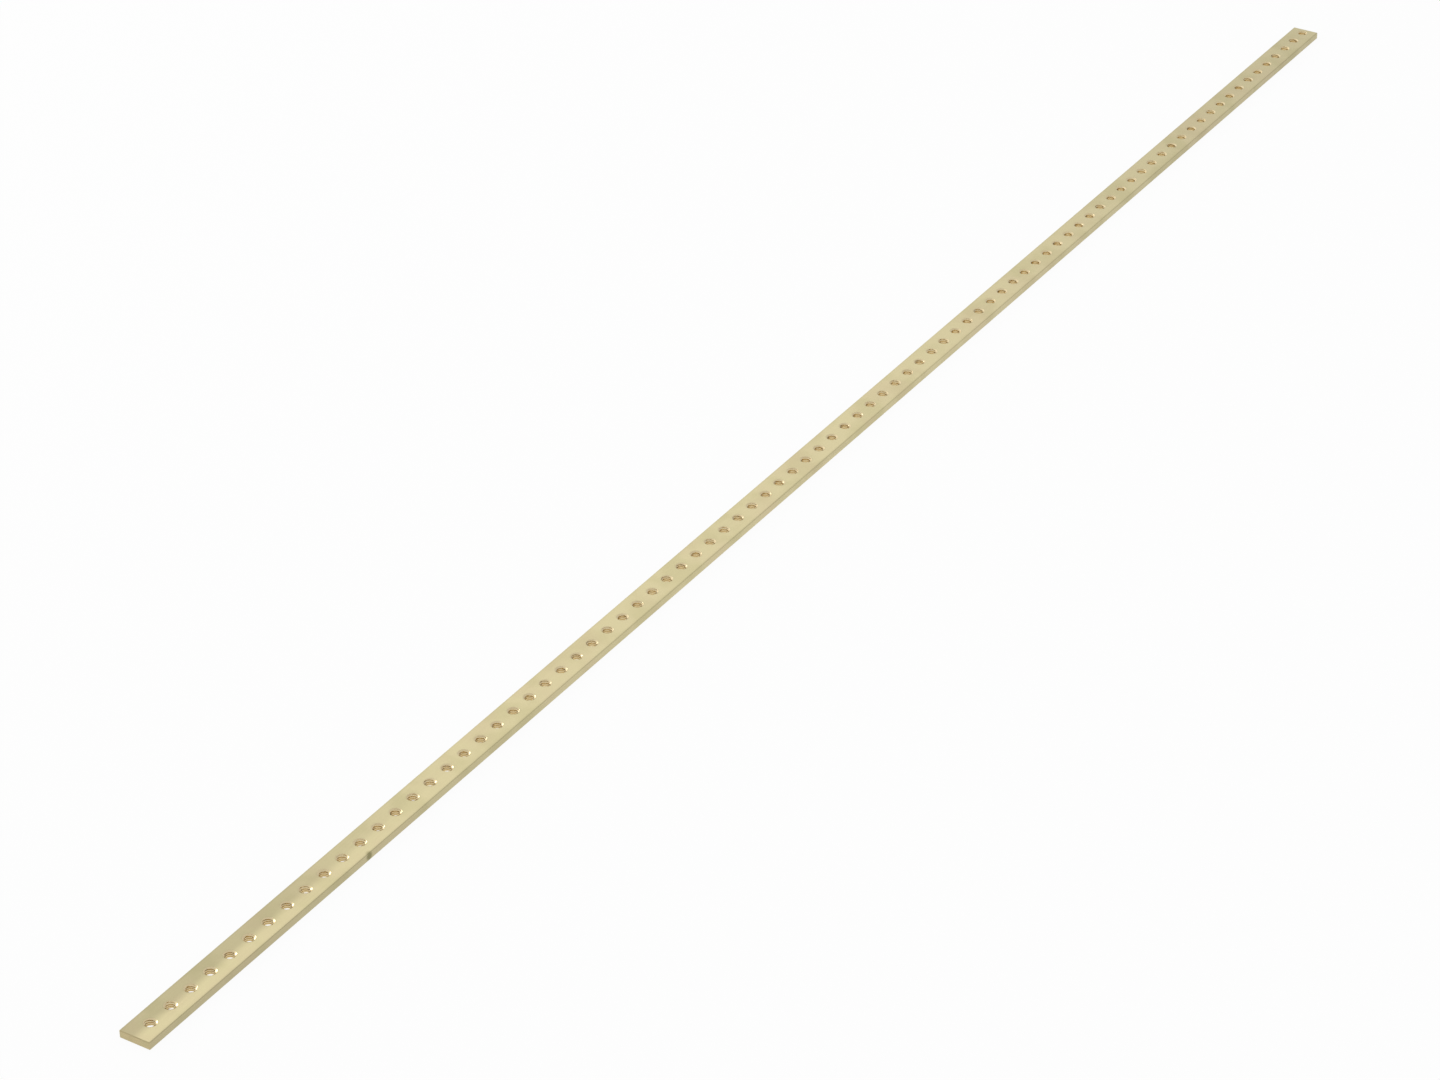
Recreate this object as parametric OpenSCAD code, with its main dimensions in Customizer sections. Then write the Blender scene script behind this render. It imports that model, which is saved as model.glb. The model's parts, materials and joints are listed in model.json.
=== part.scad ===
// Rack grounding busbar: one straight length of drawn flat brass bar,
// drilled and tapped all along its middle for earth-wire screws.
//
// Frame: +X along the bar, +Y across it, +Z up out of the upper face.
// The origin is the middle of the underside, on which the bar lies.

/* [Bar] */
// Length of the bar between its two sawn ends
bar_length = 872; // [200:1:1500]
// Width of the drawn flat section
bar_width = 12; // [8:0.5:30]
// Thickness of the drawn flat section
bar_thickness = 3; // [2:0.25:8]
// Radius that drawing leaves on the four long edges
edge_radius = 0.4; // [0.1:0.05:0.8]
// Bevel filed round each sawn end to take off the burr
end_bevel = 0.25; // [0.1:0.05:0.6]

/* [Row of tapped holes] */
// Distance from one hole to the next
hole_pitch = 10; // [6:0.5:30]
// Distance from the left end to the centre of the first hole
first_hole_from_end = 8; // [4:0.5:25]
// Least distance from the last hole's centre to the right end
least_end_margin = 4; // [3:0.5:20]
// Core diameter of the thread, as the tapping drill leaves it
core_diameter = 3.3; // [2:0.1:5]
// Diameter of the countersink at both mouths of a hole
countersink_diameter = 4.6; // [2:0.1:7]
// Full angle of the countersink
countersink_angle = 120; // [90:5:130]

/* [Hidden] */
$fn = 48;

// How far a cutting tool stands past the face that it cuts
tool_overrun = 1;

// The first hole's place along X, and how many more fit after it
first_hole_x = first_hole_from_end - bar_length / 2;
room_for_holes = bar_length - first_hole_from_end - least_end_margin;
last_hole = floor(room_for_holes / hole_pitch);
hole_places = [for (i = [0 : last_hole]) first_hole_x + i * hole_pitch];

core_radius = core_diameter / 2;
mouth_radius = max(countersink_diameter / 2, core_radius);
// Drop of the countersink's cone for each unit that its radius shrinks
cone_slope = 1 / tan(countersink_angle / 2);
countersink_depth = (mouth_radius - core_radius) * cone_slope;

// The drawn section: a flat with four rounded corners, in X and Y here,
// centred on X and standing on Y = 0.
module flat_section(width, thickness, radius) {
    translate([-width / 2 + radius, 0])
        square([width - 2 * radius, thickness]);
    translate([-width / 2, radius])
        square([width, thickness - 2 * radius]);
    for (x = [-1, 1], y = [radius, thickness - radius])
        translate([x * (width / 2 - radius), y])
            circle(r = radius);
}

// The plain bar, lying along X with its underside at Z = 0.
module drawn_bar() {
    rotate([90, 0, 90])
        translate([0, 0, -bar_length / 2])
            linear_extrude(height = bar_length)
                flat_section(bar_width, bar_thickness, edge_radius);
}

// A block whose sloping side files one edge of an end: its cutting edge
// is the line X = 0, Z = 0, and it takes off end_bevel both ways.
module file_stroke(length) {
    rotate([90, 0, 0])
        translate([0, 0, -length / 2])
            linear_extrude(height = length)
                polygon([
                    [-end_bevel, tool_overrun],
                    [-end_bevel, 0],
                    [0, -end_bevel],
                    [tool_overrun, -end_bevel],
                    [tool_overrun, tool_overrun]
                ]);
}

// The four strokes that bevel the end at +X.
module filed_end() {
    stroke = bar_width + bar_thickness;
    middle = bar_thickness / 2;
    for (turn = [0, 180])
        translate([bar_length / 2, 0, middle])
            rotate([turn, 0, 0])
                translate([0, 0, middle])
                    file_stroke(stroke);
    for (turn = [90, 270])
        translate([bar_length / 2, 0, middle])
            rotate([turn, 0, 0])
                translate([0, 0, bar_width / 2])
                    file_stroke(stroke);
}

// One tapped hole, on Z: its core right through the bar, and a
// countersink at each mouth.
module tapped_hole() {
    translate([0, 0, -tool_overrun])
        cylinder(h = bar_thickness + 2 * tool_overrun, r = core_radius);
    countersink();
    translate([0, 0, bar_thickness])
        mirror([0, 0, 1])
            countersink();
}

// The cone of a countersink whose mouth lies at Z = 0 and opens downwards.
// It carries on past the mouth, so that it cuts the face cleanly.
module countersink() {
    spread = tool_overrun / cone_slope;
    translate([0, 0, -tool_overrun])
        cylinder(h = tool_overrun + countersink_depth,
                 r1 = mouth_radius + spread,
                 r2 = core_radius);
}

module busbar() {
    color([0.82, 0.76, 0.56])
        difference() {
            drawn_bar();
            filed_end();
            mirror([1, 0, 0])
                filed_end();
            for (x = hole_places)
                translate([x, 0, 0])
                    tapped_hole();
        }
}

busbar();
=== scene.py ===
# %% [markdown]
# # An earthing bar for an equipment rack
#
# Every case and door in a rack has a green and yellow wire that ends under a
# screw on one shared bar. The bar is drawn brass flat, cut to length and
# drilled and tapped all along its middle. It is a single piece of metal, so
# the whole lesson is about one honest solid: a flat section with soft edges,
# two sawn ends and one long row of threaded holes.
#
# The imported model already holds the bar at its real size. It is loaded first
# and measured, and everything below is worked out from those measurements.

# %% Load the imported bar
import json
import math

import bmesh
import bpy
import numpy as np
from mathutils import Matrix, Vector


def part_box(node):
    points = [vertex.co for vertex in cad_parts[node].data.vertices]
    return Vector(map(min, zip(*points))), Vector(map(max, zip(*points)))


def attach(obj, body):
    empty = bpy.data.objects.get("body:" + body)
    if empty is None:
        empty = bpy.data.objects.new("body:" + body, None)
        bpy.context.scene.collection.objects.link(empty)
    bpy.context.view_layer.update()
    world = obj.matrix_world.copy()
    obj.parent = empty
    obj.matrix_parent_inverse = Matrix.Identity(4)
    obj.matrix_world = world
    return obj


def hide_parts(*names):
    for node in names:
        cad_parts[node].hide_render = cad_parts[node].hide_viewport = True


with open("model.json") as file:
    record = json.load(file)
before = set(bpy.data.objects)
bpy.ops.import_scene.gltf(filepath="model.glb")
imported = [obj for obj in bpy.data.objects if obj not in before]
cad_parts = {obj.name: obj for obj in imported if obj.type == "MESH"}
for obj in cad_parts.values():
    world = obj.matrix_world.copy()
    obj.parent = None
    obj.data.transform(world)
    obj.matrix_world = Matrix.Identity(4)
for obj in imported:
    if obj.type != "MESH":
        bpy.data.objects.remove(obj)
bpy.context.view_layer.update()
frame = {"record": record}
low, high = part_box("busbar")
length, width, thickness = high - low
print(f"bar {length * 1000:.0f} x {width * 1000:.0f} x {thickness * 1000:.0f} mm")

# %% [markdown]
# The record lists where screws go. One hole is stated by itself and the
# others in neighbouring pairs, so a pair's two places lie half a space to
# either side of its centre. Reading the places from there keeps the row of
# holes in one spot for the solid and the finish alike.

# %% Find the holes in the record


def hole_places(mounts):
    """Places of the tapped holes along X, in order.

    A single hole gives its own place, and a pair gives its centre less and plus half its spacing.
    """
    places = []
    for mount in mounts:
        centre = mount["pos_m"][0]
        if mount["kind"] == "threaded_hole":
            places.append(centre)
        elif mount["kind"] == "bolt_pattern":
            half = mount["dims"]["spacing_x_mm"] / 2000
            places += [centre - half, centre + half]
    return np.sort(places)


mounts = frame["record"]["mounts"]
holes = hole_places(mounts)
core_radius = next(m["dims"]["r_mm"] for m in mounts if m["kind"] == "threaded_hole") / 1000
print(len(holes), "tapped holes, core", round(core_radius * 2000, 2), "mm across")

# %% [markdown]
# ## The camera
#
# A long thin thing is hard to show: from the side it is a line. Looking down
# on it from beyond one end, with a long lens, keeps the near end and the far
# end at nearly the same size and lets every hole be seen. The camera is
# placed by where it aims, how far back it stands and how far it looks down.

# %% Place the camera
aim = Vector((-0.091, 0.0, 0.0))
camera_distance = 1.446
camera_heading = math.radians(31.54)
camera_dip = math.radians(31.92)
lens_mm = 97.0

camera_data = bpy.data.cameras.new("camera")
camera_data.lens = lens_mm
camera_data.sensor_width = 36.0
camera = bpy.data.objects.new("camera", camera_data)
bpy.context.collection.objects.link(camera)
forward = Vector((
    math.cos(camera_heading) * math.cos(camera_dip),
    math.sin(camera_heading) * math.cos(camera_dip),
    -math.sin(camera_dip),
))
camera.location = aim - forward * camera_distance
camera.rotation_euler = forward.to_track_quat("-Z", "Y").to_euler()
bpy.context.scene.camera = camera
print("camera at", [round(c, 3) for c in camera.location])

# %% [markdown]
# ## The shape of the skin
#
# The bar could be cut with Boolean modifiers, but nearly ninety Booleans are
# slow and leave untidy faces. Here every surface is a grid of points worked
# out by a formula, and the grids share their rims, so that welding them gives
# one closed skin. The sizes that the drawing gives are written once, here.

# %% Sizes of the details
edge_radius = 0.0004
end_bevel = 0.00025
mouth_radius = 0.0023
countersink_half_angle = math.radians(60)
thread_pitch = 0.0007
thread_major_radius = 0.002
flank_half_angle = math.radians(30)

sides_per_hole = 36
rim_points_per_side = sides_per_hole // 4
arc_steps = 4
flat_steps = 2
shoulder = width / 2 - edge_radius
print(f"flat face {2 * shoulder * 1000:.1f} mm wide between its rounded edges")

# %% [markdown]
# A surface here is a block of points, rows by columns, and a list of the
# quads between them. Two small helpers do that for every surface, and a list
# collects them with the finish that each one wears.

# %% Helpers for grids of points
surfaces = []


def grid_quads(rows, columns):
    """Corner numbers of the quads of a rows x columns grid whose points are counted row by row."""
    corner = np.arange(rows * columns).reshape(rows, columns)
    quads = [corner[:-1, :-1], corner[1:, :-1], corner[1:, 1:], corner[:-1, 1:]]
    return np.stack(quads, axis=-1).reshape(-1, 4)


def add_surface(points, finish, flip=False):
    """Keeps a (copies, rows, columns, 3) block of points with its quads and its finish.

    Every copy is a grid of its own, and flip turns the quads over.
    """
    copies, rows, columns = points.shape[:3]
    quads = grid_quads(rows, columns)
    if flip:
        quads = quads[:, ::-1]
    first_corners = np.arange(copies) * rows * columns
    quads = quads[None] + first_corners[:, None, None]
    surfaces.append((points.reshape(-1, 3), quads.reshape(-1, 4), finish))


# %% [markdown]
# ## A tapped hole
#
# A tap leaves a groove that climbs one pitch in each turn. Cut the hole along
# its axis and the wall is a row of teeth: a flat crest on the drill's circle,
# a sloping flank, a narrow flat root, and a flank back. If a row of points
# follows the groove round the hole, the four corners of that outline are all
# it takes to have sharp crests and roots.
#
# Both mouths are countersunk after tapping, which the same grid can follow:
# wherever the countersink's cone is wider than the thread, the point moves
# out to the cone, and rows that would leave the bar stop at its face. Taps
# start at any angle, so every hole gets its own.

# %% Work out the wall of every hole
finishes = ["drawn brass", "cut brass", "sawn brass"]
DRAWN, CUT, SAWN = range(len(finishes))

thread_depth = thread_major_radius - core_radius
flank_rise = thread_depth * math.tan(flank_half_angle)
root_flat = thread_pitch / 8
crest_flat = thread_pitch - root_flat - 2 * flank_rise
tooth_heights = np.cumsum([0, crest_flat, flank_rise, root_flat])
tooth_radii = np.array([core_radius, core_radius, thread_major_radius, thread_major_radius])


def corner_angles():
    """Angles of the points round a hole, in equal steps.

    The first lies towards the corner at +X, -Y, and the last repeats it.
    """
    return -math.pi / 4 + np.linspace(0, 2 * math.pi, sides_per_hole + 1)


def cone_radius(distance_from_face):
    """Radius of a countersink's cone at a distance inwards from its face.

    Radius = the mouth's radius - the distance x the tangent of the cone's half angle.
    """
    return mouth_radius - distance_from_face * math.tan(countersink_half_angle)


def hole_walls(places, starts):
    """Walls of all the holes, as (holes, rows, columns, 3) points.

    Height = the tooth's corner + whole pitches + one pitch x (turns round the hole + that hole's start).
    Radius = the largest of the tooth's, the lower cone's and the upper cone's at that height.
    """
    turns = np.arange(-2, math.ceil(thickness / thread_pitch) + 1)
    heights = (turns[:, None] * thread_pitch + tooth_heights).ravel()
    radii = np.tile(tooth_radii, len(turns))
    angles = corner_angles()
    climb = thread_pitch * np.linspace(0, 1, sides_per_hole + 1)
    z = heights[None, :, None] + climb[None, None, :] + thread_pitch * starts[:, None, None]
    z = np.clip(z, 0, thickness)
    r = np.maximum(radii[None, :, None], cone_radius(z))
    r = np.maximum(r, cone_radius(thickness - z))
    x = places[:, None, None] + r * np.cos(angles)
    return np.stack([x, r * np.sin(angles), z + low.z], axis=-1)


rng = np.random.default_rng(87)
starts = rng.random(len(holes))
add_surface(hole_walls(holes, starts), CUT)
print(f"thread {thread_depth * 1000:.2f} mm deep, crest {crest_flat * 1000:.2f} mm wide")

# %% [markdown]
# ## The two broad faces
#
# Round each hole the face is a patch that runs from the circle of the mouth
# out to a rectangle. As many points lie along the rectangle as round the
# circle, a quarter on each side, so that straight lines join them in pairs.
# Neighbouring rectangles meet halfway between two holes, and the first and
# the last reach to the bevelled ends.

# %% Work out the patches round the holes
joins = (holes[1:] + holes[:-1]) / 2
patch_left = np.concatenate([[low.x + end_bevel], joins])
patch_right = np.concatenate([joins, [high.x - end_bevel]])
along = np.linspace(0, 1, rim_points_per_side + 1)[:-1]


def rectangle_rims(left, right):
    """Points round each patch's rectangle, as (patches, columns, 2).

    They run anticlockwise in equal steps along each side, from the corner at +X, -Y back to it.
    """
    left, right = left[:, None], right[:, None]
    span = right - left
    across = shoulder * (2 * along - 1)
    up = np.zeros_like(span) + across
    x = np.concatenate([right + 0 * up, right - span * along, left + 0 * up, left + span * along], axis=1)
    y = np.concatenate([up, 0 * up + shoulder, -up, 0 * up - shoulder], axis=1)
    rim = np.stack([x, y], axis=-1)
    return np.concatenate([rim, rim[:, :1]], axis=1)


def face_patches(places, left, right, steps=2):
    """Points of the patches between the mouths and the rectangles, as (patches, rows, columns, 2).

    Point = the circle's point x (1 - share) + the rim's point x share, share rising from 0 to 1.
    """
    angles = corner_angles()
    circle = mouth_radius * np.stack([np.cos(angles), np.sin(angles)], axis=-1)
    circle = circle[None] + np.stack([places, 0 * places], axis=-1)[:, None]
    rim = rectangle_rims(left, right)
    share = np.linspace(0, 1, steps + 1)[None, :, None, None]
    return circle[:, None] * (1 - share) + rim[:, None] * share


flat = face_patches(holes, patch_left, patch_right)
for height, underneath in ((high.z, False), (low.z, True)):
    points = np.concatenate([flat, np.full(flat.shape[:3] + (1,), height)], axis=-1)
    add_surface(points, DRAWN, flip=underneath)
print(flat.shape[0], "patches on each broad face")

# %% [markdown]
# ## The long edges and the ends
#
# Drawing through a die leaves the four long edges rounded. Each narrow side
# is therefore a strip: a quarter circle, a flat, and another quarter circle,
# carried along the bar. At the saw cuts the whole outline steps in by the
# width of the filed bevel, and a grid over the section closes the end.

# %% Work out the narrow sides


def side_outline(inset=0.0):
    """(Y, Z) points up the narrow side at -Y.

    A quarter circle about each corner's centre, with equal steps on the flat between them. An inset
    makes the circles smaller by its amount, so that the whole outline steps inwards.
    """
    radius = edge_radius - inset
    turn = np.linspace(0, math.pi / 2, arc_steps + 1)
    lower = np.stack([-shoulder - radius * np.sin(turn), edge_radius - radius * np.cos(turn)], axis=-1)
    upper = np.stack([lower[::-1, 0], thickness - lower[::-1, 1]], axis=-1)
    rise = np.linspace(0, 1, flat_steps + 1)[1:-1, None]
    middle = lower[-1] + (upper[0] - lower[-1]) * rise
    outline = np.concatenate([lower, middle, upper])
    return outline + [0, low.z]


def stations(left, right):
    """Places along X where the strips have points.

    Every patch's left corner and the equal steps along its side, and then the last right corner.
    """
    inner = left[:, None] + (right - left)[:, None] * along
    return np.append(inner.ravel(), right[-1])


outline = side_outline()
strip_places = stations(patch_left, patch_right)
strip = np.empty((1, len(strip_places), len(outline), 3))
strip[..., 0] = strip_places[:, None]
strip[..., 1:] = outline
add_surface(strip, DRAWN)
add_surface(strip * [1, -1, 1], DRAWN, flip=True)
print(len(strip_places), "stations along each narrow side")

# %% Work out the filed bevels and the sawn ends


def section_grid(inset=0.0):
    """(Y, Z) points over the section, in columns from -Y to +Y.

    Every column runs in equal steps from the lower outline to the upper outline above it.
    """
    left = side_outline(inset)
    lower, upper = left[: arc_steps + 1], left[: -arc_steps - 2 : -1]
    lower, upper = lower[::-1], upper[::-1]
    flat_y = shoulder * (2 * along[1:] - 1)
    flat_low = np.stack([flat_y, np.full_like(flat_y, lower[-1, 1])], axis=-1)
    flat_high = np.stack([flat_y, np.full_like(flat_y, upper[-1, 1])], axis=-1)
    mirror = np.array([-1, 1])
    lower = np.concatenate([lower, flat_low, (lower * mirror)[::-1]])
    upper = np.concatenate([upper, flat_high, (upper * mirror)[::-1]])
    rise = np.linspace(0, 1, flat_steps + 1)[None, :, None]
    return lower[:, None] * (1 - rise) + upper[:, None] * rise


def rim_of(grid):
    """Points round a section grid.

    They run along its lower side, up, back along its upper side and down to the start.
    """
    rim = [grid[:-1, 0], grid[-1, :-1], grid[:0:-1, -1], grid[0, ::-1]]
    return np.concatenate(rim)


def at_station(section, station):
    """The (Y, Z) points of a section set up at a place along X."""
    return np.concatenate([np.full(section.shape[:-1] + (1,), station), section], axis=-1)


full_section, inset_section = section_grid(), section_grid(end_bevel)
for end, inward, flip in ((high.x, -end_bevel, False), (low.x, end_bevel, True)):
    bevel = np.stack([at_station(rim_of(full_section), end + inward), at_station(rim_of(inset_section), end)])
    add_surface(bevel[None], SAWN, flip=not flip)
    add_surface(at_station(inset_section, end)[None], SAWN, flip=flip)
print("section outline of", len(rim_of(full_section)) - 1, "points")

# %% [markdown]
# ## One closed skin
#
# Points that two grids share are welded, and quads that the stopped rows of
# the thread left without any width vanish with them. If the formulas agree
# at every rim, no edge is left open, which is counted here. Edges sharper
# than the steps of the rounded corners stay crisp, and a Weighted Normal
# modifier lets the large flats decide how light runs over the small faces.

# %% Weld the surfaces into one mesh
weld_distance = 2e-6
crisp_angle = math.radians(27)


def weld(parts, name):
    """A mesh of all the parts, with their shared points merged and each part's finish on its faces."""
    sizes = [len(points) for points, _, _ in parts]
    first = np.concatenate([[0], np.cumsum(sizes)[:-1]])
    points = np.concatenate([part[0] for part in parts])
    quads = np.concatenate([part[1] + start for part, start in zip(parts, first)])
    finish = np.concatenate([np.full(len(part[1]), part[2]) for part in parts])
    mesh = bpy.data.meshes.new(name)
    mesh.from_pydata(points.tolist(), [], quads.tolist())
    mesh.polygons.foreach_set("material_index", finish.astype(np.int32))
    work = bmesh.new()
    work.from_mesh(mesh)
    bmesh.ops.remove_doubles(work, verts=work.verts, dist=weld_distance)
    bmesh.ops.dissolve_degenerate(work, edges=work.edges, dist=weld_distance / 2)
    open_edges = sum(not edge.is_manifold for edge in work.edges)
    volume = work.calc_volume(signed=True)
    work.to_mesh(mesh)
    work.free()
    mesh.shade_smooth()
    mesh.set_sharp_from_angle(angle=crisp_angle)
    print(len(mesh.vertices), "points,", open_edges, f"open edges, {volume * 1e6:.2f} cm3")
    return mesh


bar = bpy.data.objects.new("earthing_bar", weld(surfaces, "earthing_bar"))
bpy.context.collection.objects.link(bar)
bar_normals = bar.modifiers.new("flats decide", "WEIGHTED_NORMAL")
bar_normals.keep_sharp = True
bar.data.calc_loop_triangles()
print(len(bar.data.loop_triangles), "triangles")

# %% [markdown]
# ## Nodes without repetition
#
# A material is a small network. Placing each node by hand takes three or four
# lines, so one helper makes a node, sets its options and fills its sockets:
# a socket given as a value is set, and a socket given as another node's
# output is linked. Arithmetic is so common that it gets a helper of its own.

# %% Helpers for shader nodes


def add_node(tree, kind, settings=(), inputs=()):
    """A new node of a kind: settings are its own options, inputs are values to set or outputs to link."""
    node = tree.nodes.new(kind)
    for name, value in dict(settings).items():
        setattr(node, name, value)
    for name, value in dict(inputs).items():
        if isinstance(value, bpy.types.NodeSocket):
            tree.links.new(value, node.inputs[name])
        else:
            node.inputs[name].default_value = value
    return node


def arithmetic(tree, operation, *terms):
    """The output of one Math node whose terms are numbers or outputs of other nodes."""
    return add_node(tree, "ShaderNodeMath", {"operation": operation}, dict(enumerate(terms))).outputs[0]


def soft_step(tree, value, start, end):
    """0 where a value is at start, 1 where it is at end, and an S-shaped rise between."""
    settings = {"interpolation_type": "SMOOTHSTEP"}
    inputs = {"Value": value, "From Min": start, "From Max": end}
    return add_node(tree, "ShaderNodeMapRange", settings, inputs).outputs["Result"]


def mix_colour(tree, share, first, second):
    """The first colour where the share is 0, the second where it is 1."""
    return add_node(tree, "ShaderNodeMix", {"data_type": "RGBA"}, {0: share, 6: first, 7: second}).outputs[2]


def new_group(name, inputs, output):
    """An empty node group with float inputs, a Place vector before them and one output value."""
    group = bpy.data.node_groups.new(name, "ShaderNodeTree")
    group.interface.new_socket(name="Place", in_out="INPUT", socket_type="NodeSocketVector")
    for socket in inputs:
        group.interface.new_socket(name=socket, in_out="INPUT", socket_type="NodeSocketFloat")
    group.interface.new_socket(name=output, in_out="OUTPUT", socket_type="NodeSocketFloat")
    return group, group.nodes.new("NodeGroupInput").outputs, group.nodes.new("NodeGroupOutput").inputs


def use_group(tree, group, place, *values):
    """A group placed in a material: its Place is linked, its other inputs are set in their order."""
    settings = {"node_tree": group}
    inputs = {0: place, **{number + 1: value for number, value in enumerate(values)}}
    return add_node(tree, "ShaderNodeGroup", settings, inputs).outputs[0]


# %% [markdown]
# ## Marks that the finishes share
#
# A drawing die leaves fine lines along the bar, a saw leaves them across its
# end, and a tap leaves them round a hole. All three are one effect: noise
# that is pulled out long in one direction. The group takes how many marks
# there are in a metre each way, so each material turns it as it needs.

# %% Make the group for tool marks
marks_group, given, result = new_group("tool marks", ["Along X", "Along Y", "Along Z"], "Marks")
densities = {number: given[number + 1] for number in range(3)}
density = add_node(marks_group, "ShaderNodeCombineXYZ", inputs=densities).outputs[0]
stretched = add_node(
    marks_group, "ShaderNodeVectorMath", {"operation": "MULTIPLY"}, {0: given["Place"], 1: density}
).outputs[0]
noise_inputs = {"Vector": stretched, "Scale": 1.0, "Detail": 3.0}
noise = add_node(marks_group, "ShaderNodeTexNoise", inputs=noise_inputs)
marks_group.links.new(noise.outputs[0], result[0])
print(marks_group.name, "ready")

# %% [markdown]
# Brass dulls unevenly. Where fingers and packing have touched it, it turns
# olive or a little pink in soft clouds about a centimetre across. The group
# makes one set of clouds of a given size, and a shift gives another set.

# %% Make the group for tarnish clouds
clouds_group, given, result = new_group("tarnish clouds", ["Size", "Shift"], "Clouds")
scale = arithmetic(clouds_group, "DIVIDE", 1.0, given["Size"])
shifted = add_node(
    clouds_group, "ShaderNodeVectorMath", {"operation": "ADD"}, {0: given["Place"], 1: given["Shift"]}
).outputs[0]
noise_inputs = {"Vector": shifted, "Scale": scale, "Detail": 2.0}
noise = add_node(clouds_group, "ShaderNodeTexNoise", inputs=noise_inputs)
clouds = soft_step(clouds_group, noise.outputs[0], 0.42, 0.66)
clouds_group.links.new(clouds, result[0])
print(clouds_group.name, "ready")

# %% [markdown]
# A thin line of painted shade darkens the rounded edges, the narrow sides and
# the ring round the mouth of each hole. The mask is worked out from places. A
# point's nearest hole is found by counting along the bar in steps of the hole
# spacing.

# %% Make the group for painted shade on the rims
spacing = float(np.diff(holes).mean())
rim_shade_group, given, result = new_group("dull rims", ["Reach", "Edge at"], "Rims")
along_bar, across_bar, _ = add_node(rim_shade_group, "ShaderNodeSeparateXYZ", inputs={0: given["Place"]}).outputs
from_first = arithmetic(rim_shade_group, "SUBTRACT", along_bar, float(holes[0]))
counted = arithmetic(rim_shade_group, "DIVIDE", from_first, spacing)
nearest = arithmetic(rim_shade_group, "MAXIMUM", arithmetic(rim_shade_group, "ROUND", counted), 0.0)
nearest = arithmetic(rim_shade_group, "MINIMUM", nearest, len(holes) - 1.0)
ahead = arithmetic(rim_shade_group, "MULTIPLY", arithmetic(rim_shade_group, "SUBTRACT", counted, nearest), spacing)
square_across = arithmetic(rim_shade_group, "MULTIPLY", across_bar, across_bar)
squares = arithmetic(rim_shade_group, "MULTIPLY_ADD", ahead, ahead, square_across)
from_mouth = arithmetic(rim_shade_group, "SUBTRACT", arithmetic(rim_shade_group, "SQRT", squares), mouth_radius)
round_mouths = soft_step(rim_shade_group, from_mouth, given["Reach"], 0.0)
from_middle = arithmetic(rim_shade_group, "ABSOLUTE", across_bar)
edge_start = arithmetic(rim_shade_group, "SUBTRACT", given["Edge at"], given["Reach"])
along_edges = soft_step(rim_shade_group, from_middle, edge_start, given["Edge at"])
rim_shade_group.links.new(arithmetic(rim_shade_group, "MAXIMUM", round_mouths, along_edges), result[0])
print(f"holes every {spacing * 1000:.1f} mm")

# %% [markdown]
# ## Three finishes on one bar
#
# Drawn skin is satin and slightly dull, and a little darker towards the
# right end. Painted shade darkens the left end on the half towards +Y and on
# the narrow sides, and a thin line of it runs along the rims; one small green
# spot sits on a narrow side. Freshly cut metal in the holes is yellower and
# shines more. The sawn ends are the roughest; their darker tone is painted shade.

# %% Choose the tones and the places of the marks
brass_tones = {
    "clean": (0.73, 0.648, 0.38, 1),
    "olive": (0.61, 0.56, 0.30, 1),
    "pink": (0.70, 0.575, 0.365, 1),
    "cut": (0.84, 0.70, 0.43, 1),
    # The sawn tone is darker than the clean skin as painted shade on the end faces and bevels
    "sawn": (0.66, 0.55, 0.31, 1),
    "green": (0.22, 0.20, 0.08, 1),
}
# Marks in a metre along X, Y and Z
drawn_marks = (30.0, 5000.0, 5000.0)
tap_marks = (900.0, 900.0, 7000.0)
saw_marks = (700.0, 350.0, 5200.0)
# Size of the clouds, and the shift that makes each set its own
olive_clouds, pink_clouds, saw_clouds = (0.013, 0.0), (0.016, 3.7), (0.004, 1.9)
# Width of the painted shade along the rims and round the mouths
rim_shade_reach = 0.0006
# Where each effect starts and where it is full, in metres
side_skin = (shoulder + 0.0001, width / 2 - 0.00008)
# Painted shade on the half towards +Y at the left end
near_shade_along, near_shade_across = (-0.24, -0.40), (-0.0025, 0.0015)
# Darker towards the right end, and painted shade on the narrow sides at the left end
right_end_darkening_span, shaded_left_sides_span = (-0.02, 0.45), (-0.1, -0.42)
# The green spot: its place, its reach where it starts and where it is full, and how ragged it is
spot_place, spot_rim, spot_raggedness = (-0.3212, -0.006, 0.0017), (0.0021, 0.0007), 0.0008
# Roughness of each finish at its smoothest, and what the marks and clouds add to it
drawn_roughness, line_haze, cloud_haze, side_haze = 0.33, 0.08, 0.06, 0.06
cut_roughness, ring_haze = 0.16, 0.16
sawn_roughness, teeth_haze = 0.34, 0.2
# How deep the marks are
drawn_depth, tap_depth, saw_depth = 0.000006, 0.000004, 0.00002
print(len(brass_tones), "tones of brass")

# %% Helpers for the brass


def metal(name):
    """A new metallic material: its tree, its shader and the Object coordinates that its patterns follow."""
    material = bpy.data.materials.new(name)
    material.use_nodes = True
    tree = material.node_tree
    shader = tree.nodes["Principled BSDF"]
    shader.inputs["Metallic"].default_value = 1.0
    place = tree.nodes.new("ShaderNodeTexCoord").outputs["Object"]
    bar.data.materials.append(material)
    return tree, shader, place


def tint(tree, colour, share, most, tone):
    """A colour that turns into one of the brass tones, by a share between 0 and 1 of the most it may."""
    return mix_colour(tree, arithmetic(tree, "MULTIPLY", share, most), colour, brass_tones[tone])


def dim(tree, colour, share, loss):
    """A colour made darker by a loss, in the measure of a share between 0 and 1."""
    return mix_colour(tree, arithmetic(tree, "MULTIPLY", share, loss), colour, (0, 0, 0, 1))


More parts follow.
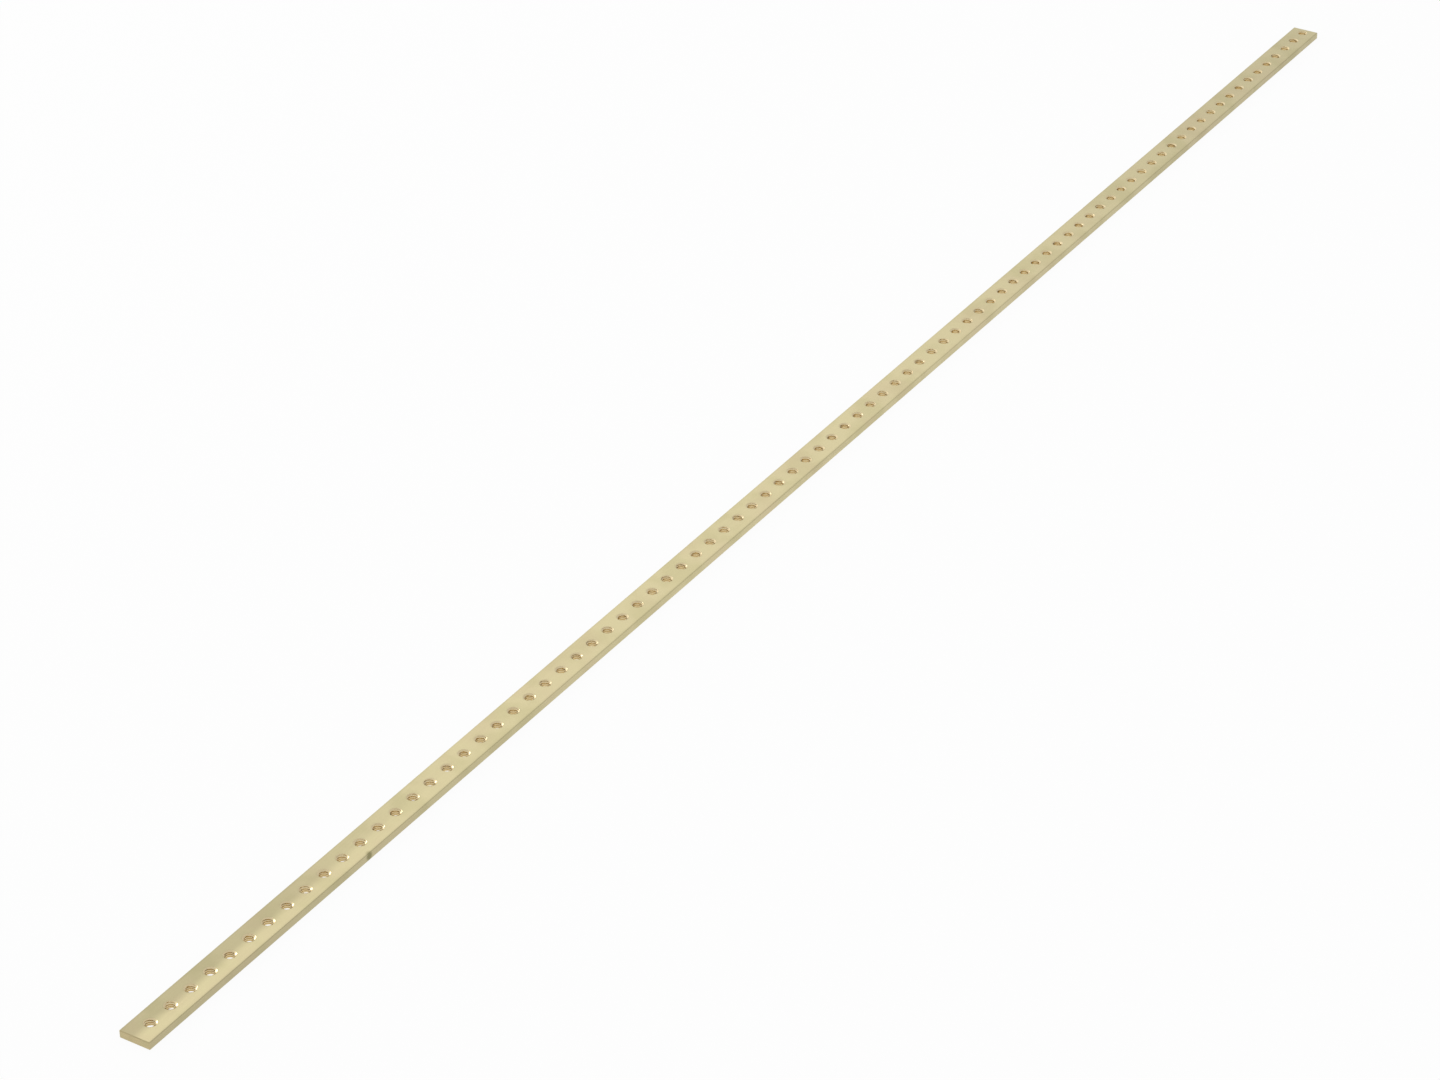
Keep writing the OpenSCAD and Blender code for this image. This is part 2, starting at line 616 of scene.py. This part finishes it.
def finish_metal(tree, shader, colour, roughness, height, depth):
    """Links a colour, a roughness and a relief of a height, so many metres deep, to the shader."""
    tree.links.new(colour, shader.inputs["Base Color"])
    tree.links.new(roughness, shader.inputs["Roughness"])
    bump = add_node(tree, "ShaderNodeBump", inputs={"Strength": 1.0, "Distance": depth, "Height": height})
    tree.links.new(bump.outputs[0], shader.inputs["Normal"])


# %% Make the masks of the drawn brass
tree, shader, place = metal(finishes[DRAWN])
x, y, _ = add_node(tree, "ShaderNodeSeparateXYZ", inputs={0: place}).outputs
lines = use_group(tree, marks_group, place, *drawn_marks)
clouds = use_group(tree, clouds_group, place, *olive_clouds)
blush = use_group(tree, clouds_group, place, *pink_clouds)
# Painted shade along the rounded edges, over the narrow sides and round each mouth
rim_shade = use_group(tree, rim_shade_group, place, rim_shade_reach, float(shoulder))
side = soft_step(tree, arithmetic(tree, "ABSOLUTE", y), *side_skin)
# Painted shade on the left end's half towards +Y
near_end_shade = arithmetic(tree, "MULTIPLY", soft_step(tree, x, *near_shade_along), soft_step(tree, y, *near_shade_across))
# Darker towards the right end
right_end_darkening = soft_step(tree, x, *right_end_darkening_span)
# Painted shade on the narrow sides, strongest at the left end
left_side_shade = arithmetic(tree, "MULTIPLY", side, soft_step(tree, x, *shaded_left_sides_span))
from_spot = add_node(
    tree, "ShaderNodeVectorMath", {"operation": "DISTANCE"}, {0: place, 1: spot_place}
).outputs["Value"]
spot = soft_step(tree, arithmetic(tree, "MULTIPLY_ADD", clouds, spot_raggedness, from_spot), *spot_rim)
print("green spot at", [round(c * 1000, 1) for c in spot_place], "mm")

# %% Colour the drawn brass
colour = tint(tree, brass_tones["clean"], clouds, 0.34, "olive")
colour = tint(tree, colour, blush, 0.32, "pink")
for mask, loss in ((rim_shade, 0.06), (near_end_shade, 0.24), (right_end_darkening, 0.16), (left_side_shade, 0.2), (lines, 0.08)):
    colour = dim(tree, colour, mask, loss)
colour = tint(tree, colour, spot, 0.8, "green")
plain = arithmetic(tree, "MULTIPLY_ADD", side, side_haze, drawn_roughness)
clouded = arithmetic(tree, "MULTIPLY_ADD", clouds, cloud_haze, plain)
satin = arithmetic(tree, "MULTIPLY_ADD", lines, line_haze, clouded)
finish_metal(tree, shader, colour, satin, lines, drawn_depth)
print(finishes[DRAWN], "with", len(tree.nodes), "nodes")

# %% Make the cut brass and the sawn brass
tree, shader, place = metal(finishes[CUT])
rings = use_group(tree, marks_group, place, *tap_marks)
colour = dim(tree, brass_tones["cut"], rings, 0.18)
shine = arithmetic(tree, "MULTIPLY_ADD", rings, ring_haze, cut_roughness)
finish_metal(tree, shader, colour, shine, rings, tap_depth)

# Sawn brass: its darker tone is painted shade; the saw marks and olive clouds are its own
tree, shader, place = metal(finishes[SAWN])
teeth = use_group(tree, marks_group, place, *saw_marks)
clouds = use_group(tree, clouds_group, place, *saw_clouds)
colour = dim(tree, tint(tree, brass_tones["sawn"], clouds, 0.4, "olive"), teeth, 0.3)
coarse = arithmetic(tree, "MULTIPLY_ADD", teeth, teeth_haze, sawn_roughness)
finish_metal(tree, shader, colour, coarse, teeth, saw_depth)
print([material.name for material in bar.data.materials])

# %% [markdown]
# ## A white floor
#
# A bar like this is shown on plain white. The floor is a large sheet just
# under it. To the camera and in reflections it is nearly all a plain white
# glow, and the rest is a diffuse white that still takes the bar's shadow.

# %% Lay the floor
floor_reach = 12.0
floor_gap = 0.00002
floor_glow = 0.94
floor_corners = np.array([(-1, -1, 0), (1, -1, 0), (1, 1, 0), (-1, 1, 0)]) * floor_reach
floor_corners[:, 2] = low.z - floor_gap

floor_mesh = bpy.data.meshes.new("floor")
floor_mesh.from_pydata(floor_corners.tolist(), [], [(0, 1, 2, 3)])
floor = bpy.data.objects.new("floor", floor_mesh)
bpy.context.collection.objects.link(floor)

floor_material = bpy.data.materials.new("white floor")
floor_material.use_nodes = True
tree = floor_material.node_tree
tree.nodes.clear()
path = tree.nodes.new("ShaderNodeLightPath").outputs
seen = arithmetic(tree, "MAXIMUM", path["Is Camera Ray"], path["Is Glossy Ray"])
seen = arithmetic(tree, "MAXIMUM", seen, path["Is Transmission Ray"])
matt = add_node(tree, "ShaderNodeBsdfDiffuse", inputs={"Color": (0.86, 0.86, 0.86, 1)}).outputs[0]
glow = tree.nodes.new("ShaderNodeEmission").outputs[0]
share = arithmetic(tree, "MULTIPLY", seen, floor_glow)
surface = add_node(tree, "ShaderNodeMixShader", inputs={0: share, 1: matt, 2: glow}).outputs[0]
add_node(tree, "ShaderNodeOutputMaterial", inputs={"Surface": surface})
floor_mesh.materials.append(floor_material)
print(f"floor {2 * floor_reach:.0f} m square")

# %% [markdown]
# ## Soft light
#
# Metal shows its surroundings, so a studio for metal is mostly one big soft
# light. The sky here is a plain grey that brightens smoothly round one
# direction, ahead of the camera and to its left, as a large window would.
# The bar's upper face mirrors the edge of that glow, which makes it fade
# towards the far end, while its edges and the holes catch the duller rest.
# A smaller soft lamp on the same side puts a clear glint in the near holes.

# %% Light the room


def direction(heading, height):
    """The unit vector at a heading from +X towards +Y and a height above the horizon, both in degrees."""
    heading, height = math.radians(heading), math.radians(height)
    flat_part = math.cos(height)
    return Vector((flat_part * math.cos(heading), flat_part * math.sin(heading), math.sin(height)))


window = direction(56, 40)
room_grey, window_grey = 0.74, 1.07
window_edge, window_core = math.cos(math.radians(52)), math.cos(math.radians(8))

world = bpy.data.worlds.new("studio")
bpy.context.scene.world = world
world.use_nodes = True
tree = world.node_tree
tree.nodes.clear()
towards = tree.nodes.new("ShaderNodeTexCoord").outputs["Generated"]
nearness = add_node(tree, "ShaderNodeVectorMath", {"operation": "DOT_PRODUCT"}, {0: towards, 1: window})
glow = soft_step(tree, nearness.outputs["Value"], window_edge, window_core)
level = arithmetic(tree, "MULTIPLY_ADD", glow, window_grey - room_grey, room_grey)
sky = add_node(tree, "ShaderNodeBackground", inputs={"Color": (1, 1, 1, 1), "Strength": level})
add_node(tree, "ShaderNodeOutputWorld", inputs={"Surface": sky.outputs[0]})
print("sky from", room_grey, "to", window_grey)

# %% Hang the soft lamp
lamp_heading, lamp_height, lamp_distance = 95, 20, 1.6

lamp_data = bpy.data.lights.new("soft lamp", "AREA")
lamp_data.shape = "RECTANGLE"
lamp_data.size, lamp_data.size_y = 0.7, 0.5
lamp_data.energy = 4.0
lamp = bpy.data.objects.new("soft lamp", lamp_data)
bpy.context.collection.objects.link(lamp)
lamp.location = direction(lamp_heading, lamp_height) * lamp_distance
lamp.rotation_euler = (-lamp.location).to_track_quat("-Z", "Y").to_euler()
lamp.visible_camera = False
bpy.context.scene.view_settings.view_transform = "Standard"
print("lamp at", [round(c, 2) for c in lamp.location])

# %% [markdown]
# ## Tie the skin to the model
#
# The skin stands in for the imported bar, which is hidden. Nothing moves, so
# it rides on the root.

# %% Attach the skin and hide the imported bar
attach(bar, "root")
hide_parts("busbar")
